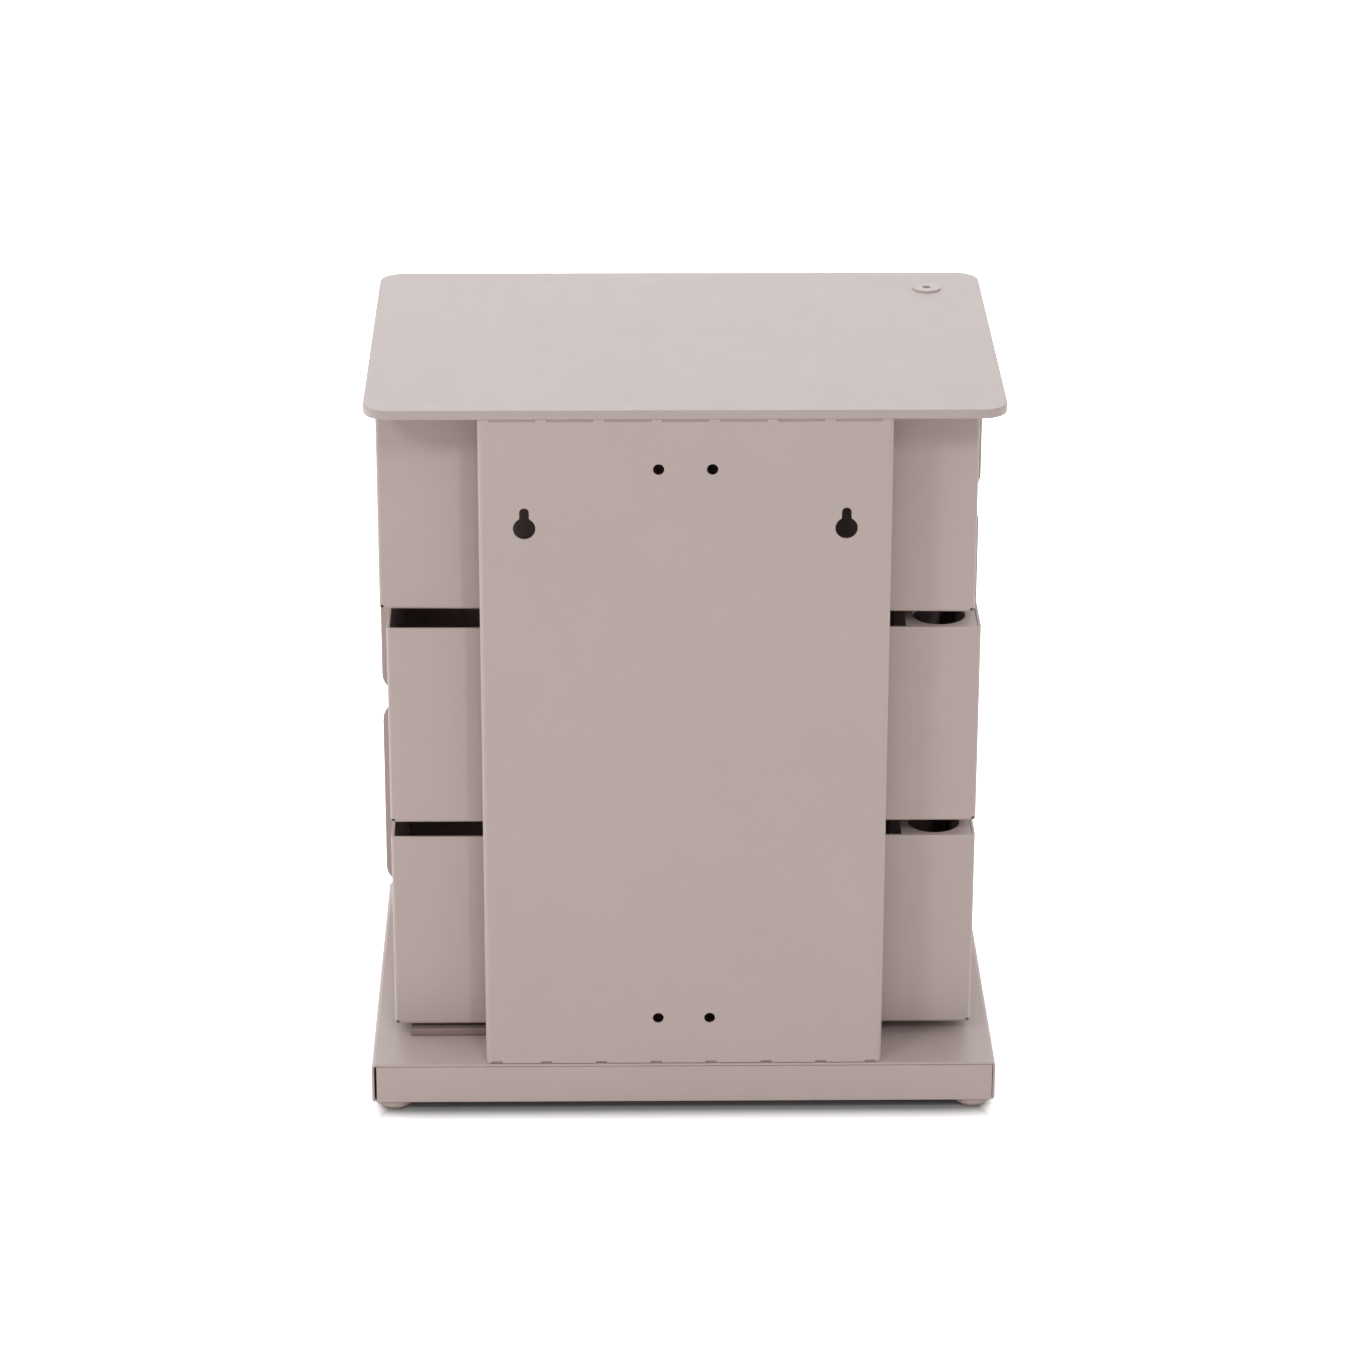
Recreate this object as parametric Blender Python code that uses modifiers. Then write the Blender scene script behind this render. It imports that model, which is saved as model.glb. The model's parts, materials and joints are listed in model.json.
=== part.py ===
"""Chest of three drawers that swing out on one vertical rod near a front corner.

Metres, +Z up. The drawer fronts face -Y, the feet stand on z = 0, and x = 0 is the middle.
Each drawer is built in its own frame, with the rod's axis as z and its floor's underside at z = 0.
"""

import math

import bmesh
import bpy
from mathutils import Matrix, Vector

MM = 0.001

# Fits
SEAT_GAP = 0.3 * MM  # between pieces that sit on, or are welded to, each other
RUN_GAP = 0.3 * MM  # between the rod and what turns on it
OVERSHOOT = 4 * MM  # how far a cutter goes past the wall that it cuts

# Overall size in plan, which the plate and the drawers follow
BASE_WIDTH = 408 * MM
BASE_DEPTH = 284 * MM

# Top plate
PLATE_INSET = 4 * MM  # from the sides and the front of the base
PLATE_THICKNESS = 6 * MM
PLATE_CORNER = 16 * MM
PLATE_EDGE = 0.7 * MM

# Base
FRAME_SHEET = 1.5 * MM
BASE_HEIGHT = 27.5 * MM
BASE_FOLD = 2.5 * MM
BASE_LIP = 28 * MM
REAR_SEAM = 1.5 * MM  # open seam at each end of the rear panel
REAR_GROOVE = 0.4 * MM  # open seam above the rear panel
FOOT_HEIGHT = 8 * MM
FOOT_TOP = 26 * MM
FOOT_RIM = 3.6 * MM  # height of the straight part under the base
FOOT_TREAD = 16 * MM
FOOT_INSET = 14 * MM  # from the front and rear faces of the base to a foot's axis
FOOT_STEM = 7 * MM
FOOT_STEM_RISE = 5 * MM  # above the lip

# Back column
COLUMN_WIDTH = 258 * MM
COLUMN_DEPTH = 37 * MM
COLUMN_LIP = 20 * MM
COLUMN_FOLD = 3.5 * MM
COLUMN_INSET = 0.6 * MM  # from the rear plane of plate and base
TAB_COUNT = 8
TAB_WIDTH = 7 * MM
TAB_SLIT = 1.3 * MM
NOTCH_HEIGHT = 1.5 * MM
SLIT_DEPTH = 1.1 * MM  # of the slits and the notches
KEYHOLE_SPACING = 201 * MM
KEYHOLE_HEAD = 14 * MM
KEYHOLE_SLOT = 6 * MM
KEYHOLE_RISE = 13.6 * MM  # from the centre of the head to the top of the slot
KEYHOLE_DROP = 72 * MM  # from the plate's underside to the centre of the head
FIXING_HOLE = 7.1 * MM
FIXING_SPACING = 33.5 * MM
FIXING_INSET = 33 * MM  # from the plate's underside and from the base

# Drawers
DRAWER_NAMES = ("lower", "middle", "upper")
DRAWER_SWING = {"lower": 0.0, "middle": 0.0, "upper": 1.3}  # degrees open at rest
DRAWER_INSET = 14 * MM  # from the sides of the base to a tray
DRAWER_SETBACK = 18.4 * MM  # from the front of the base to a tray
DRAWER_HEIGHT = 136 * MM
DRAWER_SHEET = 2 * MM
DRAWER_FOLD = 2.5 * MM
DRAWER_GAP = 10 * MM
BOTTOM_GAP = 8 * MM
TOP_GAP = 9.5 * MM
BACK_GAP = 5 * MM  # between the column and the drawers' backs
RELIEF_HOLE = 2.4 * MM
RELIEF_INSET = 1.9 * MM
RELIEF_DEPTH = 6 * MM
FRONT_OVERHANG = 15 * MM  # past the sides of the tray
FRONT_LAP = 1 * MM  # above and below the tray
FRONT_THICKNESS = 2.5 * MM
FRONT_CORNER = 13 * MM
FRONT_EDGE = 0.5 * MM
STUD_DIAMETER = 5 * MM
STUD_INSET_X = 64 * MM
STUD_INSET_Z = 34 * MM
NUT_ACROSS = 8 * MM
NUT_HEIGHT = 4 * MM
BUMPER_DIAMETER = 10 * MM
BUMPER_INSET = 14 * MM  # from the side of the column
REST_LENGTH = 120 * MM
REST_DEPTH = 20 * MM
REST_HEIGHT = 4.8 * MM
REST_INSET = 24 * MM  # from the side of the base
REST_TO_COLUMN = 3.9 * MM
REST_EDGE = 0.8 * MM

# Pivot
PIVOT_TO_SIDE = 26 * MM  # from the rod's axis to the outer faces of a tray
PIVOT_TO_FRONT = 21.5 * MM
ROD_DIAMETER = 16 * MM
GUSSET_HOLE = 34 * MM
GUSSET_MARGIN = 5 * MM
GUSSET_THICKNESS = 2 * MM
SLEEVE_WALL = 1.7 * MM
BUSH_FLANGE = 40 * MM
BUSH_FLANGE_THICKNESS = 2.5 * MM
BUSH_LENGTH = 15 * MM
SPACER_DIAMETER = 28 * MM
BOLT_DIAMETER = 8 * MM
BOLT_GRIP = 15 * MM  # how far a bolt reaches into the rod
CAP_DIAMETER = 18.6 * MM
CAP_HEIGHT = 0.8 * MM
CAP_EDGE = 0.4 * MM
SOCKET_ACROSS = 5 * MM
SOCKET_DEPTH = 2 * MM
WASHER_DIAMETER = 30 * MM
WASHER_THICKNESS = 3 * MM
BOLT_HEAD_ACROSS = 13 * MM
BOLT_HEAD_HEIGHT = 5.3 * MM

# Places that follow from the sizes above
BASE_TOP = FOOT_HEIGHT + BASE_HEIGHT
REAR = BASE_DEPTH / 2
COLUMN_REAR = REAR - COLUMN_INSET
COLUMN_FRONT = COLUMN_REAR - COLUMN_DEPTH
TRAY_REAR = COLUMN_FRONT - BACK_GAP
DRAWER_WIDTH = BASE_WIDTH - 2 * DRAWER_INSET
DRAWER_DEPTH = TRAY_REAR + REAR - DRAWER_SETBACK
PIVOT_X = PIVOT_TO_SIDE - DRAWER_WIDTH / 2
PIVOT_Y = TRAY_REAR - DRAWER_DEPTH + PIVOT_TO_FRONT
PITCH = DRAWER_HEIGHT + DRAWER_GAP
LEVELS = {name: BASE_TOP + BOTTOM_GAP + i * PITCH for i, name in enumerate(DRAWER_NAMES)}
PLATE_BELOW = LEVELS["upper"] + DRAWER_HEIGHT + TOP_GAP
BOLT_HOLE = BOLT_DIAMETER + 2 * SEAT_GAP
ROD_HOLE = ROD_DIAMETER + 2 * RUN_GAP
SLEEVE_OUTSIDE = GUSSET_HOLE - 2 * SEAT_GAP
SLEEVE_INSIDE = SLEEVE_OUTSIDE - 2 * SLEEVE_WALL
STUD_HOLE = STUD_DIAMETER + 2 * SEAT_GAP

# A drawer's outer faces in its own frame
LEFT = -PIVOT_TO_SIDE
RIGHT = DRAWER_WIDTH - PIVOT_TO_SIDE
FRONT = -PIVOT_TO_FRONT
BACK = DRAWER_DEPTH - PIVOT_TO_FRONT

# Colour, roughness and metallic value of each finish
FINISHES = {
    "coat": ((0.50, 0.42, 0.395), 0.5, 0.0),
    "zinc": ((0.56, 0.56, 0.55), 0.35, 1.0),
    "nylon": ((0.72, 0.70, 0.66), 0.45, 0.0),
    "rubber": ((0.03, 0.03, 0.03), 0.8, 0.0),
}

TO_BACK = Matrix.Rotation(math.pi / 2, 4, "X")  # turns an outline's plane upright, facing -Y


def collection(name):
    made = bpy.data.collections.new(name)
    bpy.context.scene.collection.children.link(made)
    return made


def material(name, finish):
    made = bpy.data.materials.new(name)
    made.use_nodes = True
    shader = made.node_tree.nodes["Principled BSDF"]
    colour, roughness, metallic = FINISHES[finish]
    shader.inputs["Base Color"].default_value = (*colour, 1)
    shader.inputs["Roughness"].default_value = roughness
    shader.inputs["Metallic"].default_value = metallic
    return made


def mesh_from(bm, name):
    mesh = bpy.data.meshes.new(name)
    bm.to_mesh(mesh)
    bm.free()
    return mesh


def node(name, bm, finish, parent=None, place=(0, 0, 0)):
    """One piece of the chest, from a finished bmesh."""
    made = bpy.data.objects.new(name, mesh_from(bm, name))
    made.data.materials.append(material(name, finish))
    made.parent = parent
    made.location = place
    PARTS.objects.link(made)
    return made


def cutter(name, bm, parent=None):
    bmesh.ops.recalc_face_normals(bm, faces=bm.faces)
    made = bpy.data.objects.new(name, mesh_from(bm, name))
    made.parent = parent
    made.hide_render = True
    made.display_type = "WIRE"
    CUTTERS.objects.link(made)
    return made


def combine(piece, other, operation="DIFFERENCE"):
    step = piece.modifiers.new(other.name, "BOOLEAN")
    step.operation = operation
    step.solver = "EXACT"
    step.object = other


def add_box(bm, low, high):
    size = [b - a for a, b in zip(low, high)]
    middle = [(a + b) / 2 for a, b in zip(low, high)]
    place = Matrix.Translation(middle) @ Matrix.Diagonal((*size, 1))
    bmesh.ops.create_cube(bm, size=1, matrix=place)


def add_cylinder(bm, diameter, start, end, segments=20):
    """Round bar between two points."""
    way = Vector(end) - Vector(start)
    turn = way.to_track_quat("Z", "Y").to_matrix().to_4x4()
    place = Matrix.Translation((Vector(start) + Vector(end)) / 2) @ turn
    bmesh.ops.create_cone(bm, cap_ends=True, segments=segments, radius1=diameter / 2,
                          radius2=diameter / 2, depth=way.length, matrix=place)


def add_prism(bm, outline, height, place):
    """Straight solid that rises by height from an outline in the XY plane of place."""
    lower = [bm.verts.new(place @ Vector((x, y, 0))) for x, y in outline]
    upper = [bm.verts.new(place @ Vector((x, y, height))) for x, y in outline]
    bm.faces.new(lower)
    bm.faces.new(upper)
    for i, (a, b) in enumerate(zip(lower, upper)):
        bm.faces.new((lower[i - 1], a, b, upper[i - 1]))
    bmesh.ops.recalc_face_normals(bm, faces=bm.faces)


def arc(x, y, radius, start, end, steps=8):
    """Points on a circle between two angles in degrees."""
    angles = [math.radians(start + (end - start) * i / steps) for i in range(steps + 1)]
    return [(x + radius * math.cos(a), y + radius * math.sin(a)) for a in angles]


def rectangle(x0, x1, y0, y1, corners):
    """Outline with its own radius at each corner, in the order (x1 y1), (x0 y1), (x0 y0), (x1 y0)."""
    points = []
    places = ((x1, y1, -1, -1), (x0, y1, 1, -1), (x0, y0, 1, 1), (x1, y0, -1, 1))
    for i, ((x, y, inward_x, inward_y), radius) in enumerate(zip(places, corners)):
        if radius:
            points += arc(x + inward_x * radius, y + inward_y * radius, radius, 90 * i, 90 * i + 90)
        else:
            points.append((x, y))
    return points


def hexagon(across):
    return arc(0, 0, across / math.sqrt(3), 0, 300, 5)


def soften(bm, width, least_angle=40, segments=2):
    """Rounds every edge that turns by more than least_angle."""
    sharp = [e for e in bm.edges if e.calc_face_angle(0) > math.radians(least_angle)]
    bmesh.ops.bevel(bm, geom=sharp, offset=width, segments=segments, profile=0.5, affect="EDGES")


def fold(bm, edges, radius, segments=3):
    bmesh.ops.bevel(bm, geom=edges, offset=radius, segments=segments, profile=0.5, affect="EDGES")


def turned(name, profile, finish, parent=None, place=(0, 0, 0), closed=False, steps=24):
    """Solid of revolution: the profile in x, z runs from top to bottom on its outer side."""
    bm = bmesh.new()
    points = [bm.verts.new((x, 0, z)) for x, z in profile]
    for a, b in zip(points, points[1:]):
        bm.edges.new((a, b))
    if closed:
        bm.edges.new((points[-1], points[0]))
    made = node(name, bm, finish, parent, place)
    spin = made.modifiers.new("turn", "SCREW")
    spin.steps = steps
    spin.render_steps = steps
    spin.use_merge_vertices = True
    spin.merge_threshold = 0.00001
    spin.use_smooth_shade = True
    return made


def ring(name, outside, inside, low, high, finish, parent=None, place=(0, 0, 0)):
    profile = ((outside / 2, high), (outside / 2, low), (inside / 2, low), (inside / 2, high))
    return turned(name, profile, finish, parent, place, closed=True)


def build_plate():
    bm = bmesh.new()
    side = BASE_WIDTH / 2 - PLATE_INSET
    outline = rectangle(-side, side, PLATE_INSET - REAR, REAR, [PLATE_CORNER] * 4)
    add_prism(bm, outline, PLATE_THICKNESS, Matrix.Translation((0, 0, PLATE_BELOW)))
    soften(bm, PLATE_EDGE)
    plate = node("top_plate", bm, "coat")
    hole = bmesh.new()
    add_cylinder(hole, BOLT_HOLE, (PIVOT_X, PIVOT_Y, PLATE_BELOW - OVERSHOOT),
                 (PIVOT_X, PIVOT_Y, PLATE_BELOW + PLATE_THICKNESS + OVERSHOOT))
    combine(plate, cutter("plate_bolt_hole", hole))


def base_block(bm, inset, radius, past_rear):
    """Block of the base's outline, brought in by inset, with every fold except those at the rear rounded."""
    side = BASE_WIDTH / 2 - inset
    end = REAR + past_rear
    add_box(bm, (-side, inset - REAR, FOOT_HEIGHT + inset), (side, end, BASE_TOP - inset))
    edges = [e for e in bm.edges if min(v.co.y for v in e.verts) < end - OVERSHOOT / 2]
    fold(bm, edges, radius)


def build_base():
    bm = bmesh.new()
    base_block(bm, 0, BASE_FOLD, 0)
    base = node("base_tray", bm, "coat")

    cavity = bmesh.new()
    base_block(cavity, FRAME_SHEET, BASE_FOLD - FRAME_SHEET, OVERSHOOT)
    combine(base, cutter("base_cavity", cavity))

    mouth = bmesh.new()
    half = BASE_WIDTH / 2 - BASE_LIP
    add_box(mouth, (-half, BASE_LIP - REAR, FOOT_HEIGHT - OVERSHOOT),
            (half, REAR + OVERSHOOT, FOOT_HEIGHT + 2 * FRAME_SHEET))
    combine(base, cutter("base_mouth", mouth))

    # The rear panel stands behind the lips and under the edge of the top.
    half = BASE_WIDTH / 2 - FRAME_SHEET
    panel_front = REAR - FRAME_SHEET
    slot = bmesh.new()
    add_box(slot, (-half, panel_front - SEAT_GAP, FOOT_HEIGHT - OVERSHOOT),
            (half, REAR + OVERSHOOT, FOOT_HEIGHT + 2 * FRAME_SHEET))
    combine(base, cutter("base_rear_slot", slot))

    holes = bmesh.new()
    add_cylinder(holes, BOLT_HOLE, (PIVOT_X, PIVOT_Y, BASE_TOP - 2 * FRAME_SHEET),
                 (PIVOT_X, PIVOT_Y, BASE_TOP + OVERSHOOT))
    for x, y in foot_places().values():
        add_cylinder(holes, FOOT_STEM + 2 * SEAT_GAP, (x, y, FOOT_HEIGHT - OVERSHOOT),
                     (x, y, FOOT_HEIGHT + 2 * FRAME_SHEET))
    combine(base, cutter("base_holes", holes))

    bm = bmesh.new()
    add_box(bm, (REAR_SEAM - half, panel_front, FOOT_HEIGHT),
            (half - REAR_SEAM, REAR, BASE_TOP - FRAME_SHEET - REAR_GROOVE))
    soften(bm, FRAME_SHEET / 4)
    node("base_rear_panel", bm, "coat")

    for name, (x, y) in foot_places().items():
        top = FOOT_HEIGHT - SEAT_GAP
        stem_top = FOOT_HEIGHT + FRAME_SHEET + FOOT_STEM_RISE
        profile = ((0, stem_top), (FOOT_STEM / 2, stem_top), (FOOT_STEM / 2, top), (FOOT_TOP / 2, top),
                   (FOOT_TOP / 2, top - FOOT_RIM), (FOOT_TREAD / 2, 0), (0, 0))
        turned(name, profile, "coat", place=(x, y, 0))

    bm = bmesh.new()
    end = BASE_WIDTH / 2 - REST_INSET
    rear = COLUMN_FRONT - REST_TO_COLUMN
    low = BASE_TOP + SEAT_GAP
    add_box(bm, (end - REST_LENGTH, rear - REST_DEPTH, low), (end, rear, low + REST_HEIGHT))
    soften(bm, REST_EDGE)
    node("drawer_rest", bm, "coat")


def foot_places():
    """Feet in the middle of the side lips' width."""
    x = (BASE_WIDTH - BASE_LIP) / 2
    y = REAR - FOOT_INSET
    return {"foot_front_left": (-x, -y), "foot_front_right": (x, -y),
            "foot_rear_left": (-x, y), "foot_rear_right": (x, y)}


def build_column():
    low = BASE_TOP + SEAT_GAP
    high = PLATE_BELOW - SEAT_GAP
    side = COLUMN_WIDTH / 2
    plan = ((side - COLUMN_LIP, COLUMN_FRONT), (side, COLUMN_FRONT), (side, COLUMN_REAR),
            (-side, COLUMN_REAR), (-side, COLUMN_FRONT), (COLUMN_LIP - side, COLUMN_FRONT))
    bm = bmesh.new()
    feet = [bm.verts.new((x, y, low)) for x, y in plan]
    heads = [bm.verts.new((x, y, high)) for x, y in plan]
    for i in range(len(plan) - 1):
        bm.faces.new((feet[i], feet[i + 1], heads[i + 1], heads[i]))
    fold(bm, [e for e in bm.edges if len(e.link_faces) == 2], COLUMN_FOLD, 4)
    column = node("back_column", bm, "coat")
    sheet = column.modifiers.new("sheet", "SOLIDIFY")
    sheet.thickness = FRAME_SHEET
    sheet.offset = -1
    sheet.use_even_offset = True

    # Both ends of the rear face: shallow slits between the tabs above, a notch at each tab's place below.
    first = COLUMN_FOLD - side
    pitch = -2 * first / (TAB_COUNT - 1)
    near = COLUMN_REAR - SLIT_DEPTH
    far = COLUMN_REAR + OVERSHOOT
    ends = bmesh.new()
    for i in range(TAB_COUNT):
        x = first + i * pitch
        if i < TAB_COUNT - 1:
            add_box(ends, (x + TAB_WIDTH / 2, near, high - TAB_SLIT),
                    (x + pitch - TAB_WIDTH / 2, far, high + OVERSHOOT))
        if 0 < i < TAB_COUNT - 1:
            add_box(ends, (x - TAB_WIDTH / 2, near, low - OVERSHOOT),
                    (x + TAB_WIDTH / 2, far, low + NOTCH_HEIGHT))
    # The outer two notches stop short of the folds.
    for sign in (-1, 1):
        x = sorted((sign * -first, sign * (-first - TAB_WIDTH)))
        add_box(ends, (x[0], near, low - OVERSHOOT), (x[1], far, low + NOTCH_HEIGHT))
    combine(column, cutter("column_slits", ends))

    near = COLUMN_REAR - 2 * FRAME_SHEET
    holes = bmesh.new()
    head = KEYHOLE_HEAD / 2
    slot = KEYHOLE_SLOT / 2
    turn = math.degrees(math.asin(slot / head))
    for sign in (-1, 1):
        outline = arc(0, 0, head, 90 + turn, 450 - turn, 28) + arc(0, KEYHOLE_RISE - slot, slot, 0, 180, 12)
        place = Matrix.Translation((sign * KEYHOLE_SPACING / 2, far, PLATE_BELOW - KEYHOLE_DROP)) @ TO_BACK
        add_prism(holes, outline, far - near, place)
        for z in (BASE_TOP + FIXING_INSET, PLATE_BELOW - FIXING_INSET):
            x = sign * FIXING_SPACING / 2
            add_cylinder(holes, FIXING_HOLE, (x, near, z), (x, far, z))
    combine(column, cutter("column_holes", holes))


def build_pivot():
    axis = (PIVOT_X, PIVOT_Y, 0)
    low = BASE_TOP + SEAT_GAP
    high = PLATE_BELOW - SEAT_GAP
    bore = BOLT_HOLE / 2
    depth = BOLT_GRIP + OVERSHOOT
    profile = ((0, high - depth), (bore, high - depth), (bore, high), (ROD_DIAMETER / 2, high),
               (ROD_DIAMETER / 2, low), (bore, low), (bore, low + depth), (0, low + depth))
    turned("pivot_rod", profile, "zinc", place=axis)

    top = PLATE_BELOW + PLATE_THICKNESS + SEAT_GAP
    radius = CAP_DIAMETER / 2
    shank = BOLT_DIAMETER / 2
    crown = top + CAP_HEIGHT
    profile = ((0, crown), (radius - CAP_EDGE, crown), (radius, crown - CAP_EDGE), (radius, top),
               (shank, top), (shank, high - BOLT_GRIP), (0, high - BOLT_GRIP))
    cap = turned("pivot_cap_bolt", profile, "coat", place=axis, steps=40)
    socket = bmesh.new()
    place = Matrix.Translation((*axis[:2], crown - SOCKET_DEPTH))
    add_prism(socket, hexagon(SOCKET_ACROSS), SOCKET_DEPTH + OVERSHOOT, place)
    combine(cap, cutter("cap_socket", socket))

    under = BASE_TOP - FRAME_SHEET - SEAT_GAP
    ring("pivot_base_washer", WASHER_DIAMETER, BOLT_HOLE, under - WASHER_THICKNESS, under, "zinc",
         place=axis)
    under -= WASHER_THICKNESS + SEAT_GAP
    bm = bmesh.new()
    add_prism(bm, hexagon(BOLT_HEAD_ACROSS), BOLT_HEAD_HEIGHT,
              Matrix.Translation((*axis[:2], under - BOLT_HEAD_HEIGHT)))
    bolt = node("pivot_base_bolt", bm, "zinc")
    stem = bmesh.new()
    add_cylinder(stem, BOLT_DIAMETER, (*axis[:2], under - BOLT_HEAD_HEIGHT / 2),
                 (*axis[:2], low + BOLT_GRIP))
    combine(bolt, cutter("base_bolt_shank", stem), "UNION")

    # Spacer rings fill what the bushes leave of each gap.
    flange = BUSH_FLANGE_THICKNESS + SEAT_GAP
    tops = [LEVELS[name] + DRAWER_HEIGHT + flange for name in DRAWER_NAMES]
    floors = [LEVELS[name] - flange for name in DRAWER_NAMES]
    gaps = zip(("bottom", "lower", "upper", "top"), [BASE_TOP] + tops, floors + [PLATE_BELOW])
    for name, start, end in gaps:
        ring("spacer_" + name, SPACER_DIAMETER, ROD_HOLE, start + SEAT_GAP, end - SEAT_GAP, "nylon",
             place=axis)


def build_drawer(name):
    hinge = bpy.data.objects.new(name + "_drawer_hinge", None)
    hinge.location = (PIVOT_X, PIVOT_Y, LEVELS[name])
    hinge.rotation_euler.z = -math.radians(DRAWER_SWING[name])
    hinge.empty_display_size = ROD_DIAMETER
    PARTS.objects.link(hinge)
    prefix = name + "_drawer_"

    bm = bmesh.new()
    add_box(bm, (LEFT, FRONT, 0), (RIGHT, BACK, DRAWER_HEIGHT))
    bmesh.ops.delete(bm, geom=[f for f in bm.faces if f.normal.z > 0.5], context="FACES")
    fold(bm, [e for e in bm.edges if len(e.link_faces) == 2], DRAWER_FOLD)
    tray = node(prefix + "tray", bm, "coat", hinge)
    sheet = tray.modifiers.new("sheet", "SOLIDIFY")
    sheet.thickness = DRAWER_SHEET
    sheet.offset = -1
    sheet.use_even_offset = True

    holes = bmesh.new()
    add_cylinder(holes, GUSSET_HOLE, (0, 0, -OVERSHOOT), (0, 0, 2 * DRAWER_SHEET), 48)
    for x in (LEFT + RELIEF_INSET, RIGHT - RELIEF_INSET):
        add_cylinder(holes, RELIEF_HOLE, (x, FRONT - OVERSHOOT, RELIEF_INSET),
                     (x, FRONT + RELIEF_DEPTH, RELIEF_INSET), 12)
        add_cylinder(holes, RELIEF_HOLE, (x, BACK - RELIEF_DEPTH, RELIEF_INSET),
                     (x, BACK + OVERSHOOT, RELIEF_INSET), 12)
    for x, z in stud_places():
        add_cylinder(holes, STUD_HOLE, (x, FRONT - OVERSHOOT, z), (x, FRONT + 2 * DRAWER_SHEET, z), 16)
    combine(tray, cutter(prefix + "tray_holes", holes, hinge))

    build_front(prefix, hinge)

    # Corner plates: the front one carries the sleeve, the rear one is the same pressing turned over.
    reach = GUSSET_HOLE / 2 + GUSSET_MARGIN
    wall = LEFT + DRAWER_SHEET + SEAT_GAP
    inner = DRAWER_SHEET + SEAT_GAP
    back_hole = BACK - PIVOT_TO_FRONT
    plates = {"front_gusset": (FRONT + inner, reach, 0, (reach, 0, 0, 0)),
              "rear_gusset": (back_hole - reach, BACK - inner, back_hole, (0, 0, 0, reach))}
    for piece, (start, end, hole_y, corners) in plates.items():
        bm = bmesh.new()
        level = DRAWER_HEIGHT - GUSSET_THICKNESS
        outline = rectangle(wall, reach, start, end, corners)
        add_prism(bm, outline, GUSSET_THICKNESS, Matrix.Translation((0, 0, level)))
        gusset = node(prefix + piece, bm, "coat", hinge)
        hole = bmesh.new()
        add_cylinder(hole, GUSSET_HOLE, (0, hole_y, level - OVERSHOOT),
                     (0, hole_y, DRAWER_HEIGHT + OVERSHOOT), 48)
        combine(gusset, cutter(prefix + piece + "_hole", hole, hinge))

    ring(prefix + "pivot_sleeve", SLEEVE_OUTSIDE, SLEEVE_INSIDE, 0, DRAWER_HEIGHT, "coat", hinge)
    body = SLEEVE_INSIDE / 2 - SEAT_GAP
    inside = ROD_HOLE / 2
    flange = BUSH_FLANGE / 2
    face = DRAWER_HEIGHT + SEAT_GAP
    profile = ((flange, face + BUSH_FLANGE_THICKNESS), (flange, face), (body, face),
               (body, DRAWER_HEIGHT - BUSH_LENGTH), (inside, DRAWER_HEIGHT - BUSH_LENGTH),
               (inside, face + BUSH_FLANGE_THICKNESS))
    turned(prefix + "top_bush", profile, "nylon", hinge, closed=True)
    face = -SEAT_GAP
    profile = ((body, BUSH_LENGTH), (body, face), (flange, face), (flange, face - BUSH_FLANGE_THICKNESS),
               (inside, face - BUSH_FLANGE_THICKNESS), (inside, BUSH_LENGTH))
    turned(prefix + "bottom_bush", profile, "nylon", hinge, closed=True)

    bm = bmesh.new()
    x = COLUMN_WIDTH / 2 - BUMPER_INSET - PIVOT_X
    z = DRAWER_HEIGHT / 2
    add_cylinder(bm, BUMPER_DIAMETER, (x, BACK + SEAT_GAP, z), (x, BACK + BACK_GAP - SEAT_GAP, z))
    node(prefix + "bumper", bm, "rubber", hinge)


def stud_places():
    xs = (LEFT + STUD_INSET_X, RIGHT - STUD_INSET_X)
    zs = (STUD_INSET_Z, DRAWER_HEIGHT - STUD_INSET_Z)
    return [(x, z) for z in zs for x in xs]


def build_front(prefix, hinge):
    """Front panel with its welded studs, and the nuts inside the tray."""
    inside = FRONT - SEAT_GAP
    bm = bmesh.new()
    outline = rectangle(LEFT - FRONT_OVERHANG, RIGHT + FRONT_OVERHANG, -FRONT_LAP,
                        DRAWER_HEIGHT + FRONT_LAP, [FRONT_CORNER] * 4)
    add_prism(bm, outline, FRONT_THICKNESS, Matrix.Translation((0, inside, 0)) @ TO_BACK)
    soften(bm, FRONT_EDGE, segments=1)
    panel = node(prefix + "front", bm, "coat", hinge)

    nut_face = FRONT + DRAWER_SHEET + SEAT_GAP
    tip = nut_face + NUT_HEIGHT + SEAT_GAP
    studs = bmesh.new()
    for i, (x, z) in enumerate(stud_places(), 1):
        add_cylinder(studs, STUD_DIAMETER, (x, inside - FRONT_THICKNESS / 2, z), (x, tip, z), 16)
        bm = bmesh.new()
        place = Matrix.Translation((x, nut_face + NUT_HEIGHT, z)) @ TO_BACK
        add_prism(bm, hexagon(NUT_ACROSS), NUT_HEIGHT, place)
        nut = node(f"{prefix}nut_{i}", bm, "zinc", hinge)
        hole = bmesh.new()
        add_cylinder(hole, STUD_HOLE, (x, nut_face - OVERSHOOT, z), (x, tip + OVERSHOOT, z), 16)
        combine(nut, cutter(f"{prefix}nut_{i}_hole", hole, hinge))
    combine(panel, cutter(prefix + "studs", studs, hinge), "UNION")


for old in list(bpy.data.objects):
    bpy.data.objects.remove(old)
PARTS = collection("chest_of_drawers")
CUTTERS = collection("cutters")
CUTTERS.hide_render = True

build_base()
build_column()
build_plate()
build_pivot()
for drawer in DRAWER_NAMES:
    build_drawer(drawer)
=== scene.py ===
import json
import math

import bmesh
import bpy
import numpy as np
from mathutils import Matrix, Vector

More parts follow.
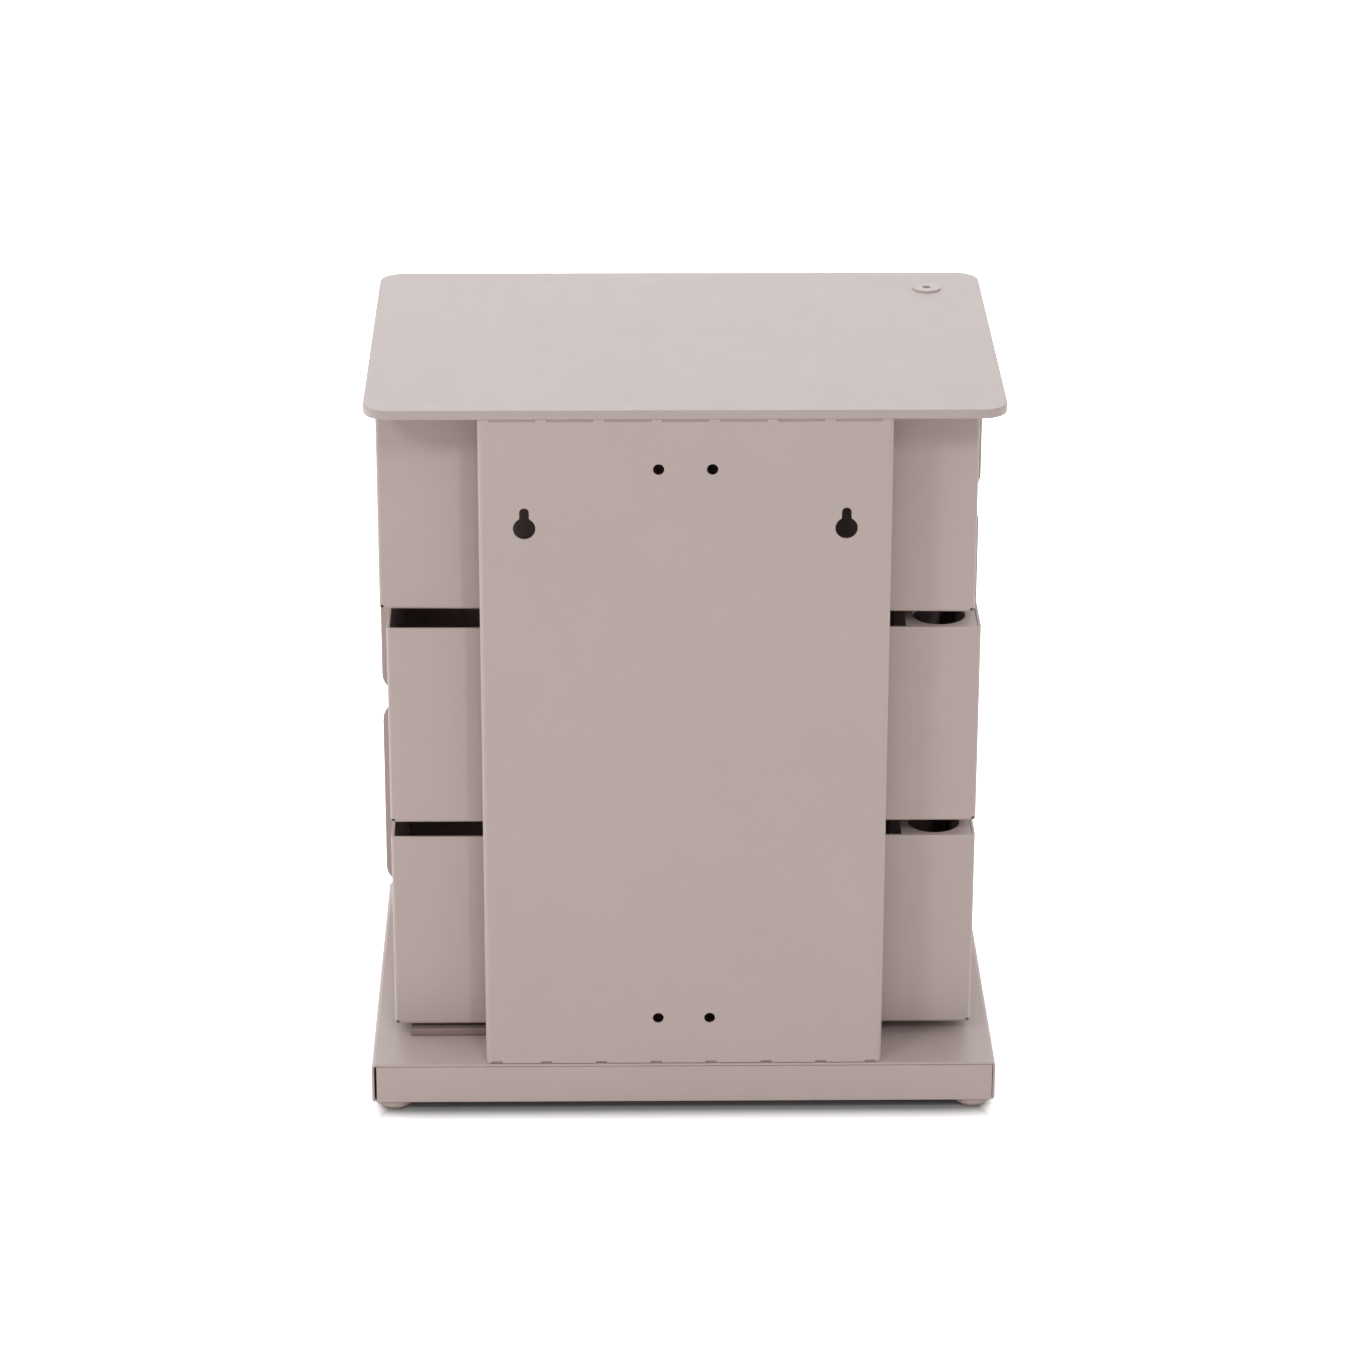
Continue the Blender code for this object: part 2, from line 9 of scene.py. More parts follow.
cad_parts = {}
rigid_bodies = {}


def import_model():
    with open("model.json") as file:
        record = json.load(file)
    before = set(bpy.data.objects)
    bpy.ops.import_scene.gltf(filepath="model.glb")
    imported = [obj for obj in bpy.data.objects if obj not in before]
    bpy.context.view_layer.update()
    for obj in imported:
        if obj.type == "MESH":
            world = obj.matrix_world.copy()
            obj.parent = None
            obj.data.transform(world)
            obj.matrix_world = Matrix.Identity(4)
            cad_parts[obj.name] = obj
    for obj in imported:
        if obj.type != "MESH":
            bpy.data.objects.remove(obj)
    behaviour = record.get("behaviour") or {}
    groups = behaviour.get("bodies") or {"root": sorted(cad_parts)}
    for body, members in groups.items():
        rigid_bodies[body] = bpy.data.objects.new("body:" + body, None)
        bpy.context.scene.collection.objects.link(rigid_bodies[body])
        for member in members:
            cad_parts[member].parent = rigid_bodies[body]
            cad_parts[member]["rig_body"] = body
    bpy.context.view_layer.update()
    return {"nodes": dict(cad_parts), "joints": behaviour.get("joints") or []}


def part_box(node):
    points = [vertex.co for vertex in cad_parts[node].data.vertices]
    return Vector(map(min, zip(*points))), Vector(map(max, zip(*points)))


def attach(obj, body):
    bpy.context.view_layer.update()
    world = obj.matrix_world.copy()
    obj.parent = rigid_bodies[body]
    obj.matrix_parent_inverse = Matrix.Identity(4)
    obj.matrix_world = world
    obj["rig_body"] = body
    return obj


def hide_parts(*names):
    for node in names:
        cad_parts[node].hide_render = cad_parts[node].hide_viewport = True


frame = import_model()
print("frame:", len(frame["nodes"]), "nodes")

# the photograph's view: angles in radians, lens and square sensor in mm, farthest in metres
cameraView = {
    "place": (0.04684, 2.88067, 1.44657),
    "pitch": 0.3953,
    "yaw": -0.0171,
    "roll": 0.0031,
    "lens": 123.47,
    "sensor": 36,
    "farthest": 100,
}


def placeCamera(view):
    yaw, pitch, roll = view["yaw"], view["pitch"], view["roll"]
    right = Vector((-math.cos(yaw), -math.sin(yaw), 0))
    ahead = Vector((math.sin(yaw), -math.cos(yaw), 0))
    up = Vector((0, 0, 1))
    look = ahead * math.cos(pitch) - up * math.sin(pitch)
    top = up * math.cos(pitch) + ahead * math.sin(pitch)
    side = right * math.cos(roll) + top * math.sin(roll)
    crown = top * math.cos(roll) - right * math.sin(roll)
    turn = Matrix((side, crown, -look)).transposed().to_4x4()
    data = bpy.data.cameras.new("photoCamera")
    data.lens = view["lens"]
    data.sensor_width = view["sensor"]
    data.clip_end = view["farthest"]
    camera = bpy.data.objects.new("photoCamera", data)
    camera.matrix_world = Matrix.Translation(view["place"]) @ turn
    bpy.context.scene.collection.objects.link(camera)
    bpy.context.scene.camera = camera


def emptyTree(owner):
    owner.use_nodes = True
    owner.node_tree.nodes.clear()
    return owner.node_tree


def feed(tree, node, **inputs):
    # an input goes by its socket's name, with _ for a space, or by its place as i0, i1 and so on
    for name, value in inputs.items():
        byPlace = name[0] == "i" and name[1:].isdigit()
        socket = node.inputs[int(name[1:]) if byPlace else name.replace("_", " ")]
        if isinstance(value, bpy.types.NodeSocket):
            tree.links.new(value, socket)
        else:
            socket.default_value = value


def addNode(tree, kind, settings=None, **inputs):
    made = tree.nodes.new(kind)
    for name, value in (settings or {}).items():
        setattr(made, name, value)
    feed(tree, made, **inputs)
    return made


def mathNode(tree, operation, a, b=0.0):
    return addNode(tree, "ShaderNodeMath", {"operation": operation}, i0=a, i1=b).outputs[0]


def mixColour(tree, factor, a, b, blend="MIX"):
    settings = {"data_type": "RGBA", "blend_type": blend}
    return addNode(tree, "ShaderNodeMix", settings, i0=factor, i6=a, i7=b).outputs[2]


def mapRange(tree, value, start, end, first, last):
    return addNode(tree, "ShaderNodeMapRange", i0=value, i1=start, i2=end, i3=first, i4=last).outputs[0]


def noise(tree, vector, scale, detail):
    return addNode(tree, "ShaderNodeTexNoise", Vector=vector, Scale=scale, Detail=detail).outputs["Fac"]


def sway(tree, value, amount):
    # amount * (value - 1/2), so that a noise swings both ways
    return mathNode(tree, "MULTIPLY", mathNode(tree, "SUBTRACT", value, 0.5), amount)


def newGroup(name, inputs, outputs):
    group = bpy.data.node_groups.new(name, "ShaderNodeTree")
    for socket, kind in inputs:
        group.interface.new_socket(name=socket, in_out="INPUT", socket_type="NodeSocket" + kind)
    for socket, kind in outputs:
        group.interface.new_socket(name=socket, in_out="OUTPUT", socket_type="NodeSocket" + kind)
    return group, group.nodes.new("NodeGroupInput").outputs, group.nodes.new("NodeGroupOutput")


# a light tent with soft boxes; +x is the photograph's left, and the camera stands behind the chest
studio = {
    "sky": 0.70,  # the tent's light from all round
    "floorSize": 60.0,
    "floorBounce": (0.66, 0.59, 0.54),  # what the floor gives back to the chest
    "floorShown": 1.9,  # what the camera sees of it, so that it is white outside the shadow
    "floorPaintedShadow": 0.48,  # painted shadow: what the camera sees of the floor close to the base
    "shadeAcross": (-0.010, 0.003),  # metres past the sides of the base, where the painted shadow ends
    "shadeBehind": (-0.004, 0.018),  # the same past its back and front
    "aim": (0, 0, 0.25),
    "boxes": {
        "freeSide": {"place": (1.7, -0.35, 0.9), "width": 1.2, "height": 1.2, "power": 9.0},
        "freeHigh": {"place": (1.7, 0.2, 2.0), "width": 1.2, "height": 1.2, "power": 2.2},
        "pivotSide": {"place": (-1.7, -0.35, 0.9), "width": 1.2, "height": 1.2, "power": 3.9},
        "pivotRear": {"place": (-0.55, 2.6, 2.39), "width": 0.09, "height": 0.45, "power": 14.3},
        "freeRear": {"place": (1.49, 2.15, 2.04), "width": 0.4, "height": 0.45, "power": 14.1},
        "backdrop": {"place": (0, -2.6, 1.35), "width": 3.2, "height": 1.9, "power": 28.4},
    },
}


def hangTent(look):
    # even light on the chest, plain white for the camera
    world = bpy.data.worlds.new("lightTent")
    bpy.context.scene.world = world
    tree = emptyTree(world)
    shown = addNode(tree, "ShaderNodeLightPath").outputs["Is Camera Ray"]
    sky = addNode(tree, "ShaderNodeBackground", Color=(1, 1, 1, 1), Strength=look["sky"]).outputs[0]
    white = addNode(tree, "ShaderNodeBackground", Color=(1, 1, 1, 1), Strength=1.0).outputs[0]
    seen = addNode(tree, "ShaderNodeMixShader", i0=shown, i1=sky, i2=white)
    addNode(tree, "ShaderNodeOutputWorld", Surface=seen.outputs[0])


def hangBoxes(look):
    for name, box in look["boxes"].items():
        lamp = bpy.data.lights.new(name, "AREA")
        lamp.shape = "RECTANGLE"
        lamp.size, lamp.size_y = box["width"], box["height"]
        lamp.energy = box["power"]
        lit = bpy.data.objects.new(name, lamp)
        lit.location = box["place"]
        lit.rotation_euler = (Vector(look["aim"]) - lit.location).to_track_quat("-Z", "Y").to_euler()
        lit.visible_camera = False
        bpy.context.scene.collection.objects.link(lit)


def floorPaper(look):
    # the floor's colour for the camera is darkened close to the base, a painted contact shadow; gain = the
    # larger of two ramps, over |x| - half the base's width and |y| - half its depth
    material = bpy.data.materials.new("floorPaper")
    tree = emptyTree(material)
    rays = addNode(tree, "ShaderNodeLightPath").outputs
    shown = mathNode(tree, "MAXIMUM", rays["Is Camera Ray"], rays["Is Glossy Ray"])
    place = addNode(tree, "ShaderNodeTexCoord").outputs["Object"]
    spot = addNode(tree, "ShaderNodeSeparateXYZ", Vector=place).outputs
    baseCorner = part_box("base_tray")[1]
    ramps = []
    for axis, (start, end) in enumerate((look["shadeAcross"], look["shadeBehind"])):
        past = mathNode(tree, "SUBTRACT", mathNode(tree, "ABSOLUTE", spot[axis]), baseCorner[axis])
        ramps.append(mapRange(tree, past, start, end, look["floorPaintedShadow"], look["floorShown"]))
    gain = mathNode(tree, "MAXIMUM", *ramps)
    grey = addNode(tree, "ShaderNodeCombineXYZ", i0=gain, i1=gain, i2=gain).outputs[0]
    paper = mixColour(tree, shown, (*look["floorBounce"], 1), grey)
    diffuse = addNode(tree, "ShaderNodeBsdfDiffuse", Color=paper)
    addNode(tree, "ShaderNodeOutputMaterial", Surface=diffuse.outputs[0])
    return material


def layFloor(look):
    half = look["floorSize"] / 2
    corners = [(-half, -half, 0), (half, -half, 0), (half, half, 0), (-half, half, 0)]
    mesh = bpy.data.meshes.new("floor")
    mesh.from_pydata(corners, [], [(0, 1, 2, 3)])
    mesh.materials.append(floorPaper(look))
    floor = bpy.data.objects.new("floor", mesh)
    bpy.context.scene.collection.objects.link(floor)


placeCamera(cameraView)
hangTent(studio)
hangBoxes(studio)
layFloor(studio)
print("camera and studio set")

# the coat's texture in all its finishes; scales are waves in a metre, colours here and below are linear
skinLook = {
    "driftScale": 14.0,  # the tone drifts over a hand's width
    "fingerScale": 70.0,  # the gloss over a finger's
    "rippleShare": 0.2,  # of the grain's scale
    "peelTone": 0.4,  # how far the peel joins the drift in the tone
    "roughSwing": 0.10,
    "peelHeight": 0.6,
    "rippleHeight": 0.8,
    "paintedShineTint": (0.80, 0.74, 0.71),  # a painted highlight: the paler colour towards which a rounded edge is lifted
}

coatLook = {
    "tint": (0.451, 0.371, 0.354),
    "mottle": 0.07,
    "grain": 1500.0,
    "roughness": 0.46,
    "specular": 0.7,
    "depth": 0.00005,
    "bump": 0.6,
    # the next: how far the painted highlight lifts a rounded edge's colour
    "edgeLift": 0.22,
}
topLook = {**coatLook, "tint": (0.416, 0.352, 0.337)}  # the top is greyer: a painted sheen, for the white round it that the top reflects at a low angle


def makePowderSkin(look):
    # tone = 1 + mottle * (drift + peelTone * peel - their middle), height = a fine peel with a coarser ripple
    group, given, result = newGroup(
        "powderSkin",
        [("Vector", "Vector"), ("Tint", "Color"), ("Mottle", "Float"),
         ("Grain", "Float"), ("Base Roughness", "Float"), ("Edge Lift", "Float")],
        [("Color", "Color"), ("Roughness", "Float"), ("Height", "Float")])
    coarse = mathNode(group, "MULTIPLY", given["Grain"], look["rippleShare"])
    drift = noise(group, given["Vector"], look["driftScale"], 3.0)
    finger = noise(group, given["Vector"], look["fingerScale"], 2.0)
    peel = noise(group, given["Vector"], given["Grain"], 2.0)
    ripple = noise(group, given["Vector"], coarse, 1.0)

    swing = mathNode(group, "ADD", drift, mathNode(group, "MULTIPLY", peel, look["peelTone"]))
    swing = mathNode(group, "SUBTRACT", swing, (1 + look["peelTone"]) / 2)
    tone = mathNode(group, "ADD", mathNode(group, "MULTIPLY", swing, given["Mottle"]), 1.0)
    toned = addNode(group, "ShaderNodeHueSaturation", Color=given["Tint"], Value=tone).outputs[0]
    # the rounded edges, marked "edge", get a painted highlight, lifted towards a paler tint where the finger
    # noise is high
    edge = addNode(group, "ShaderNodeAttribute", {"attribute_name": "edge"}).outputs["Fac"]
    paintedShine = mathNode(group, "MULTIPLY", mathNode(group, "MULTIPLY", edge, given["Edge Lift"]), finger)
    colour = mixColour(group, paintedShine, toned, (*look["paintedShineTint"], 1))

    rough = mathNode(group, "ADD", given["Base Roughness"], sway(group, finger, look["roughSwing"]))
    rough = mathNode(group, "ADD", rough, sway(group, peel, look["roughSwing"]))
    height = mathNode(group, "ADD", mathNode(group, "MULTIPLY", peel, look["peelHeight"]),
                      mathNode(group, "MULTIPLY", ripple, look["rippleHeight"]))
    feed(group, result, Color=colour, Roughness=rough, Height=height)
    return group


def surface(name):
    # a bare shader with its output, and the place on the piece for its patterns
    material = bpy.data.materials.new(name)
    tree = emptyTree(material)
    shader = addNode(tree, "ShaderNodeBsdfPrincipled")
    addNode(tree, "ShaderNodeOutputMaterial", Surface=shader.outputs[0])
    place = addNode(tree, "ShaderNodeTexCoord").outputs["Object"]
    return material, tree, shader, place


def bumped(tree, height, look):
    bump = addNode(tree, "ShaderNodeBump", Height=height, Distance=look["depth"], Strength=look["bump"])
    return bump.outputs[0]


def coatMaterial(name, look, skin):
    material, tree, shader, place = surface(name)
    made = addNode(tree, "ShaderNodeGroup", {"node_tree": skin}, Vector=place, Tint=(*look["tint"], 1),
                   Mottle=look["mottle"], Grain=look["grain"],
                   Base_Roughness=look["roughness"], Edge_Lift=look["edgeLift"]).outputs
    feed(tree, shader, Base_Color=made["Color"], Roughness=made["Roughness"],
         Specular_IOR_Level=look["specular"], Normal=bumped(tree, made["Height"], look))
    return material


# plated steel of the rod, the bolts and the nuts
zincLook = {
    "tint": (0.56, 0.56, 0.54),
    "cloudTint": (0.70, 0.69, 0.64),
    "cloudScale": 180.0,
    "cloudMix": 0.6,
    "roughness": 0.36,
    "markScale": (90, 90, 2600),  # turning marks run round the upright axis
    "markSwing": 0.25,
    "depth": 0.00002,
    "bump": 0.4,
}


def platedMaterial(name, look):
    material, tree, shader, place = surface(name)
    stretched = addNode(tree, "ShaderNodeMapping", Vector=place, Scale=look["markScale"]).outputs[0]
    marks = noise(tree, stretched, 1.0, 3.0)
    cloud = mathNode(tree, "MULTIPLY", noise(tree, place, look["cloudScale"], 3.0), look["cloudMix"])
    colour = mixColour(tree, cloud, (*look["tint"], 1), (*look["cloudTint"], 1))
    rough = mathNode(tree, "ADD", look["roughness"], sway(tree, marks, look["markSwing"]))
    feed(tree, shader, Base_Color=colour, Roughness=rough, Metallic=1.0, Normal=bumped(tree, marks, look))
    return material


# what moulded and pressed pieces share: a stipple from the tool, and a slow drift of tone
mouldLook = {"driftScale": 60.0, "darkest": 0.82, "roughSwing": 0.2, "depth": 0.00004, "bump": 0.5}
nylonLook = {"tint": (0.70, 0.68, 0.62), "roughness": 0.42, "grain": 2200.0}
rubberLook = {"tint": (0.025, 0.025, 0.026), "roughness": 0.75, "grain": 1800.0}
glideLook = {"tint": coatLook["tint"], "roughness": 0.48, "grain": 1400.0}
# the rest is the coat darkened: painted shade, for the shadow it lies in under the lowest drawer
restLook = {"tint": (0.27, 0.20, 0.18), "roughness": 0.7, "grain": 1600.0}


def makeMouldSkin(look):
    # colour runs from darkest * tint to tint with the drift, height is the stipple
    group, given, result = newGroup(
        "mouldSkin",
        [("Vector", "Vector"), ("Tint", "Color"), ("Base Roughness", "Float"), ("Grain", "Float")],
        [("Color", "Color"), ("Roughness", "Float"), ("Height", "Float")])
    stipple = noise(group, given["Vector"], given["Grain"], 2.0)
    drift = noise(group, given["Vector"], look["driftScale"], 2.0)
    darker = mixColour(group, 1.0, given["Tint"], (*[look["darkest"]] * 3, 1), "MULTIPLY")
    rough = mathNode(group, "ADD", given["Base Roughness"], sway(group, stipple, look["roughSwing"]))
    feed(group, result, Color=mixColour(group, drift, darker, given["Tint"]), Roughness=rough, Height=stipple)
    return group


def mouldedMaterial(name, look, skin):
    material, tree, shader, place = surface(name)
    made = addNode(tree, "ShaderNodeGroup", {"node_tree": skin}, Vector=place, Tint=(*look["tint"], 1),
                   Base_Roughness=look["roughness"], Grain=look["grain"]).outputs
    feed(tree, shader, Base_Color=made["Color"], Roughness=made["Roughness"],
         Normal=bumped(tree, made["Height"], mouldLook))
    return material


powderSkin = makePowderSkin(skinLook)
mouldSkin = makeMouldSkin(mouldLook)
powderCoat = coatMaterial("powderCoat", coatLook, powderSkin)
paintedSheenCoat = coatMaterial("paintedSheenCoat", topLook, powderSkin)
zincPlate = platedMaterial("zincPlate", zincLook)
naturalNylon = mouldedMaterial("naturalNylon", nylonLook, mouldSkin)
blackRubber = mouldedMaterial("blackRubber", rubberLook, mouldSkin)
glidePlastic = mouldedMaterial("glidePlastic", glideLook, mouldSkin)
paintedShadeRest = mouldedMaterial("paintedShadeRest", restLook, mouldSkin)
print("finishes made")


def linkPiece(name, mesh, material, sharpAngle):
    # stands for the CAD node of the same name, on the same body
    mesh.materials.append(material)
    mesh.set_sharp_from_angle(angle=math.radians(sharpAngle))
    piece = bpy.data.objects.new(name + "_skin", mesh)
    bpy.context.scene.collection.objects.link(piece)
    level = piece.modifiers.new("flatFaces", "WEIGHTED_NORMAL")
    level.keep_sharp = True
    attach(piece, frame["nodes"][name]["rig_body"])
    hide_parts(name)


# faces round the axis, the angle in degrees past which an edge is sharp, and metres to merge within
turnedLook = {"around": 96, "sharpAngle": 40, "mergeWithin": 1e-6}


def roundedOutline(points, corner, closed=False, steps=4, legShare=0.45):
    # each corner c becomes the arc (1-t)^2 a + 2 t (1-t) c + t^2 b, with a and b set back along its two legs
    points = np.asarray(points, float)
    setBack = np.broadcast_to(np.asarray(corner, float), len(points))[:, None]

    def legEnd(neighbour):
        leg = neighbour - points
        length = np.linalg.norm(leg, axis=1, keepdims=True)
        return points + leg / length * np.minimum(setBack, legShare * length)

    t = np.linspace(0, 1, steps + 1)[None, :, None]
    a, b = (legEnd(np.roll(points, turn, 0))[:, None] for turn in (1, -1))
    arcs = (1 - t) ** 2 * a + 2 * t * (1 - t) * points[:, None] + t ** 2 * b
    if closed:
        return arcs.reshape(-1, 2)
    return np.vstack([points[:1], arcs[1:-1].reshape(-1, 2), points[-1:]])


def roundAngles():
    return np.linspace(0, 2 * math.pi, turnedLook["around"], endpoint=False)


def allRound(radius):
    # the same radius at each angle, one row for each height
    return np.repeat(np.asarray(radius)[:, None], turnedLook["around"], axis=1)


def hexRadius(across):
    # distance from the middle of a hexagon to its side at each angle, with a corner at angle 0
    return across / 2 / np.cos(roundAngles() % (math.pi / 3) - math.pi / 6)


def roundGrid(radius, height):
    # rows of (r cos a, r sin a, h), with r for each row and angle a
    angle = roundAngles()
    level = np.broadcast_to(np.asarray(height)[:, None], radius.shape)
    return np.stack([radius * np.cos(angle), radius * np.sin(angle), level], axis=-1)


def gridPiece(name, grid, material, closed=False):
    # quads between neighbouring rows and columns; columns go round, and so do the rows of a closed section
    rows, around = grid.shape[:2]
    row = np.arange(rows if closed else rows - 1)[:, None] * around
    column = np.arange(around)[None, :]
    rowAfter, columnAfter = (row + around) % (rows * around), (column + 1) % around
    quads = np.stack([row + column, rowAfter + column, rowAfter + columnAfter, row + columnAfter], axis=-1)
    mesh = bpy.data.meshes.new(name + "_skin")
    mesh.from_pydata(grid.reshape(-1, 3).tolist(), [], quads.reshape(-1, 4).tolist())
    bm = bmesh.new()
    bm.from_mesh(mesh)
    bmesh.ops.remove_doubles(bm, verts=bm.verts, dist=turnedLook["mergeWithin"])  # closes the poles
    for face in bm.faces:
        face.smooth = True
    bm.to_mesh(mesh)
    bm.free()
    linkPiece(name, mesh, material, turnedLook["sharpAngle"])


def middleOf(name):
    low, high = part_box(name)
    return (np.array(low) + np.array(high)) / 2


def radiusOf(name):
    # half the width of an upright node
    low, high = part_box(name)
    return (high[0] - low[0]) / 2


def heightsOf(name):
    low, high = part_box(name)
    return low[2], high[2]


def uprightNode(name, grid, material, closed=False):
    # the grid's axis is the node's own upright axis
    middle = middleOf(name)
    gridPiece(name, grid + (middle[0], middle[1], 0), material, closed)


def turnedNode(name, outline, corner, material, closed=False):
    # the outline (radius, height) runs down its outer side
    line = roundedOutline(outline, corner, closed)
    uprightNode(name, roundGrid(allRound(line[:, 0]), line[:, 1]), material, closed)


def ringNode(name, inside, corner, material):
    # a plain ring or tube round the bore
    radius = radiusOf(name)
    low, high = heightsOf(name)
    outline = [(radius, high), (radius, low), (inside, low), (inside, high)]
    turnedNode(name, outline, corner, material, closed=True)


def drawerTurn(name):
    # a drawer's own directions at rest: its joint's range starts at the shut position
    joint = next(j for j in frame["joints"] if name.startswith(j["child"]))
    swing = math.radians(joint["range_deg"][0])
    side = np.array((math.cos(swing), math.sin(swing), 0))
    back = np.array((-math.sin(swing), math.cos(swing), 0))
    return side, back


def lyingNode(name, grid, material, closed=False):
    # the grid's axis points to the back of the drawer, from the middle of the node
    side, back = drawerTurn(name)
    turn = np.stack([-side, (0, 0, 1), back])
    gridPiece(name, grid @ turn + middleOf(name), material, closed)


# here and below, radii and lengths that the CAD nodes have, in metres; corner is how far an edge is rounded
rodLook = {"boltHole": 0.0043, "boltDepth": 0.019, "corner": 0.0008}


def makeRod(look, steel):
    # a plain bar with a bolt hole in each end
    radius, bore, depth = radiusOf("pivot_rod"), look["boltHole"], look["boltDepth"]
    low, high = heightsOf("pivot_rod")
    outline = [(0, high - depth), (bore, high - depth), (bore, high), (radius, high),
               (radius, low), (bore, low), (bore, low + depth), (0, low + depth)]
    turnedNode("pivot_rod", outline, look["corner"], steel)


bushLook = {"bore": 0.0083, "body": 0.0147, "flange": 0.0025, "corner": 0.0006}


def makeBush(name, look, nylon):
    # a flange at the upper end of a top bush and at the lower end of a bottom one
    flange, body, bore = radiusOf(name), look["body"], look["bore"]
    low, high = heightsOf(name)
    if name.endswith("_top_bush"):
        neck = high - look["flange"]
        outer = [(flange, high), (flange, neck), (body, neck), (body, low)]
    else:
        neck = low + look["flange"]
        outer = [(body, high), (body, neck), (flange, neck), (flange, low)]
    turnedNode(name, outer + [(bore, low), (bore, high)], look["corner"], nylon, closed=True)


spacerLook = {"bore": bushLook["bore"], "corner": 0.0007}
washerLook = {"bore": rodLook["boltHole"], "corner": 0.0005}
sleeveLook = {"wall": 0.0017, "corner": 0.0006}


def makePivot(steel, nylon, coat):
    # the rod, then the spacers, the washer, and the sleeves with their bushes
    makeRod(rodLook, steel)
    for name in [n for n in frame["nodes"] if n.startswith("spacer_")]:
        ringNode(name, spacerLook["bore"], spacerLook["corner"], nylon)
    ringNode("pivot_base_washer", washerLook["bore"], washerLook["corner"], steel)
    for name in sorted(frame["nodes"]):
        if name.endswith("_pivot_sleeve"):
            ringNode(name, radiusOf(name) - sleeveLook["wall"], sleeveLook["corner"], coat)
        elif name.endswith("_bush"):
            makeBush(name, bushLook, nylon)


capLook = {
    "edge": 0.0008, "shank": 0.004, "shankCorner": 0.0005,
    "socketAcross": 0.005, "socketDepth": 0.002, "socketChamfer": 0.0003,
    "drillPoint": 0.0007, "drillShare": 0.8,  # how far below the socket's floor, and how much of its width
    "seat": 0.00002, "seatCorner": 0.0001,  # seat is left between the cap and the plate
}


def makeCap(look, coat):
    # rows from the socket's floor up its hexagonal wall, out over the face, down the rim and the shank
    name = "pivot_cap_bolt"
    low, crown = heightsOf(name)
    radius, shank = radiusOf(name), look["shank"]
    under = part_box("top_plate")[1][2] + look["seat"]
    wall = hexRadius(look["socketAcross"])
    floor = crown - look["socketDepth"]
    chamfer = look["socketChamfer"]
    rows = [(0 * wall, floor - look["drillPoint"]), (wall * look["drillShare"], floor), (wall, floor),
            (wall, crown - chamfer), (wall + chamfer, crown)]
    outline = [(shank, crown), (radius, crown), (radius, under), (shank, under), (shank, low), (0, low)]
    rim = roundedOutline(outline, (0, look["edge"], look["seatCorner"], 0, look["shankCorner"], 0))
    radii = np.vstack([r for r, z in rows] + [allRound(rim[:, 0])])
    heights = np.concatenate([[z for r, z in rows], rim[:, 1]])
    uprightNode(name, roundGrid(radii, heights), coat)


# faceShare is the share of half the width across flats where an end face meets its chamfer
hexLook = {"faceShare": 0.94, "chamferSlope": 1.732, "sideRows": 13}


def hexSide(across, bottom, top, look):
    # r(a, z) = min(hexagon at a, face radius + slope * depth below the nearer end face)
    z = np.linspace(top, bottom, look["sideRows"])
    depth = np.minimum(top - z, z - bottom)
    cone = across / 2 * look["faceShare"] + look["chamferSlope"] * depth
    return np.minimum(hexRadius(across), cone[:, None]), z


nutLook = {"across": 0.008, "bore": 0.0026, "boreChamfer": 0.0004}


def makeNuts(look, steel):
    # down the six sides, then up the bore with a chamfer at each end
    low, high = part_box("lower_drawer_nut_1")
    half = (high[1] - low[1]) / 2
    side, z = hexSide(look["across"], -half, half, hexLook)
    bore, chamfer = look["bore"], look["boreChamfer"]
    boreRadii = allRound((bore + chamfer, bore, bore, bore + chamfer))
    boreZ = (-half, chamfer - half, half - chamfer, half)
    grid = roundGrid(np.vstack([side, boreRadii]), np.concatenate([z, boreZ]))
    for name in sorted(n for n in frame["nodes"] if "_nut_" in n):
        lyingNode(name, grid, steel, closed=True)


baseBoltLook = {"across": 0.013, "head": 0.0053, "shank": 0.004, "shankCorner": 0.0006}


def makeBaseBolt(look, steel):
    # from the shank's end down to the head, over its six sides and in to the middle
    name = "pivot_base_bolt"
    low, high = heightsOf(name)
    neck = low + look["head"]
    side, z = hexSide(look["across"], low, neck, hexLook)
    shank = roundedOutline([(0, high), (look["shank"], high), (look["shank"], neck)],
                           (0, look["shankCorner"], 0))
    radii = np.vstack([allRound(shank[:, 0]), side, 0 * side[:1]])
    heights = np.concatenate([shank[:, 1], z, [low]])
    uprightNode(name, roundGrid(radii, heights), steel)


# one corner for each point of the foot's outline, from the top of the stem to the middle of the tread
footLook = {
    "stem": 0.0035, "rim": 0.0036, "top": 0.0077, "tread": 0.008,
    "corners": (0, 0.0006, 0.0004, 0.0005, 0.0007, 0.0006, 0),
}


def makeFeet(look, plastic):
    # down the stem, out over the top of the rim, down it and in along the cone to the tread
    stem, top, bottomOfRim = look["stem"], look["top"], look["top"] - look["rim"]
    for name in sorted(n for n in frame["nodes"] if n.startswith("foot_")):
        radius = radiusOf(name)
        low, high = heightsOf(name)
        outline = [(0, high), (stem, high), (stem, top), (radius, top),
                   (radius, bottomOfRim), (look["tread"], low), (0, low)]
        turnedNode(name, outline, look["corners"], plastic)


# crown is the share of the radius that is level, shoulder the share of half the depth where the side starts
bumperLook = {"corner": 0.0024, "baseCorner": 0.0004, "crown": 0.62, "shoulder": 0.1}


def makeBumpers(look, rubber):
    # a pad with a low crown towards the column
    low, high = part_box("lower_drawer_bumper")
    radius, half = (high[2] - low[2]) / 2, (high[1] - low[1]) / 2
    outline = [(0, half), (radius * look["crown"], half), (radius, half * look["shoulder"]),
               (radius, -half), (0, -half)]
    line = roundedOutline(outline, (0, look["corner"], look["corner"], look["baseCorner"], 0))
    grid = roundGrid(allRound(line[:, 0]), line[:, 1])
    for name in sorted(n for n in frame["nodes"] if n.endswith("_bumper")):
        lyingNode(name, grid, rubber)


